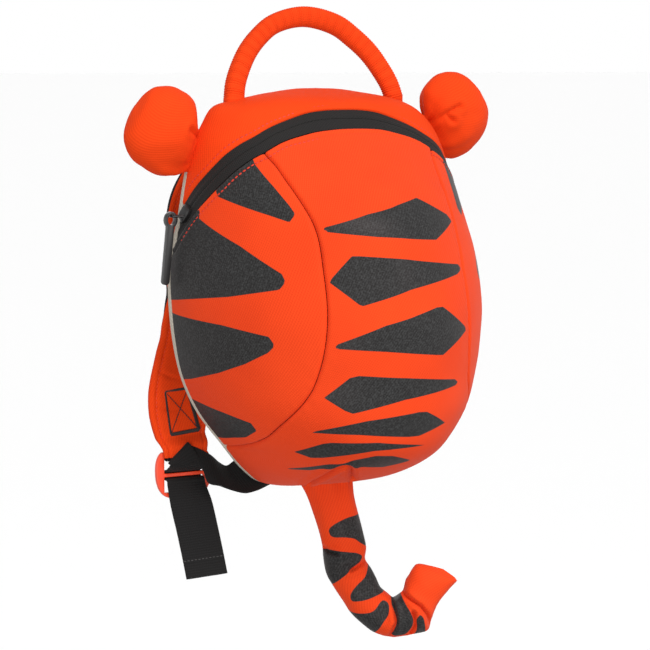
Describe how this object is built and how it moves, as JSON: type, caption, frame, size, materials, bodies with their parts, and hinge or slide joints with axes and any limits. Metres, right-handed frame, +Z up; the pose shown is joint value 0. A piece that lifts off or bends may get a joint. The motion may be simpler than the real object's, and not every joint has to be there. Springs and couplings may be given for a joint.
{
  "type": "child backpack",
  "caption": "Soft domed child's backpack with round ears, a curved zip, a carry handle, padded shoulder straps, ladder locks with loose webbing and a stuffed hooked tail.",
  "frame": {"origin": "middle of the inner side of the carry handle's top, where a hook or a finger carries the bag", "axes": "+Z up, -Y towards the front of the bag, +X to the right as seen from the front"},
  "size_m": [0.2489, 0.1515, 0.3799],
  "materials": {
    "striped_cloth": "matte woven polyester, orange with printed dark grey stripes",
    "orange_cloth": "matte woven polyester",
    "zip_tape": "fine woven nylon coil tape",
    "grey_padding": "warm grey padded mesh cloth",
    "black_webbing": "ribbed polypropylene webbing",
    "orange_plastic": "satin moulded acetal",
    "black_plastic": "satin black"
  },
  "bodies": {
    "bag": {"front_panel": "striped_cloth", "side_panel_left": "striped_cloth", "side_panel_right": "striped_cloth", "hood": "orange_cloth", "zip_tape_upper": "zip_tape", "zip_tape_lower": "zip_tape", "back_panel": "grey_padding", "carry_handle": "orange_cloth", "ear_left": "orange_cloth", "ear_right": "orange_cloth", "tail": "striped_cloth", "shoulder_strap_left": "orange_cloth", "shoulder_strap_right": "orange_cloth", "web_loop_left": "black_webbing", "web_loop_right": "black_webbing", "ladder_lock_left": "orange_plastic", "ladder_lock_right": "orange_plastic", "webbing_left": "black_webbing", "webbing_right": "black_webbing", "zip_slider": "black_plastic"},
    "puller": {"zip_puller": "black_plastic"}
  },
  "joints": [
    {"name": "puller_hinge", "type": "hinge", "parent": "bag", "child": "puller", "pos_m": [-0.0991, -0.01822, -0.10986], "axis": [0, 1, 0], "range_deg": [0, 100]}
  ]
}
